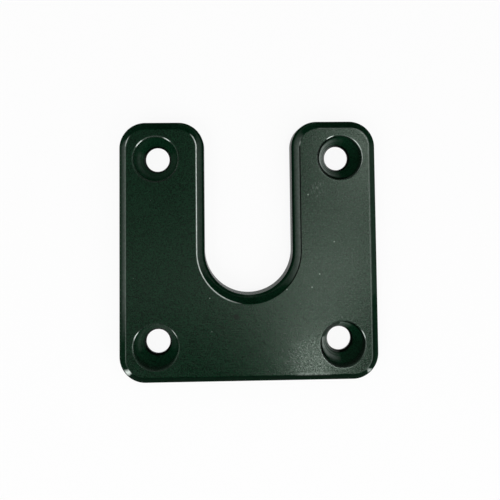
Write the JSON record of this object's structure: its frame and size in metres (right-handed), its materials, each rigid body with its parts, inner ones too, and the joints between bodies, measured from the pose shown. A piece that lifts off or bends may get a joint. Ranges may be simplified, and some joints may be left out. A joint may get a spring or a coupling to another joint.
{
  "type": "u bracket",
  "caption": "Flat U-shaped mounting plate with a round-bottomed open slot, rounded corners, a bevelled front edge and sunk flat-head screw holes.",
  "frame": {"origin": "under the middle of the plate, on the back face that it lies on", "axes": "+Z out of the countersunk front face, +Y towards the open end of the slot, +X across the legs"},
  "size_m": [0.07, 0.07, 0.006],
  "materials": {
    "anodised": "satin green-black anodised"
  },
  "bodies": {
    "root": {"u_plate": "anodised"}
  },
  "joints": []
}
